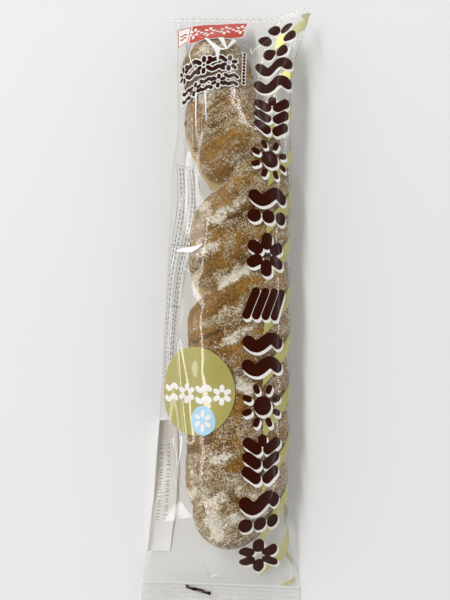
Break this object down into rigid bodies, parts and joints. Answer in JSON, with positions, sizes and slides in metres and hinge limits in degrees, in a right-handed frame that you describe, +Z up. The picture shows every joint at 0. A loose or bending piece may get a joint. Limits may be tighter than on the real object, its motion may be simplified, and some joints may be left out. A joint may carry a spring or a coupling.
{
  "type": "packaged twist doughnut",
  "caption": "Long twisted fried doughnut coated in sugar, sealed in a clear printed film bag with crimped ends, lying on its back.",
  "frame": {"origin": "middle of the pack's box, on the surface it lies on", "axes": "+Y along the pack towards the red band, +X to the right as it is read, +Z up out of the surface"},
  "size_m": [0.0728, 0.3, 0.0357],
  "materials": {
    "film": "clear thin film, glossy, creased",
    "crust": "fried golden-brown crust with a paler band",
    "sugar": "loose sugar grains",
    "dark_ink": "dark brown print under the film's gloss",
    "pale_ink": "off-white print",
    "olive_ink": "metallic olive-gold print",
    "red_ink": "red print",
    "blue_ink": "light blue print"
  },
  "bodies": {
    "root": {"bag": "film"}
  },
  "joints": []
}
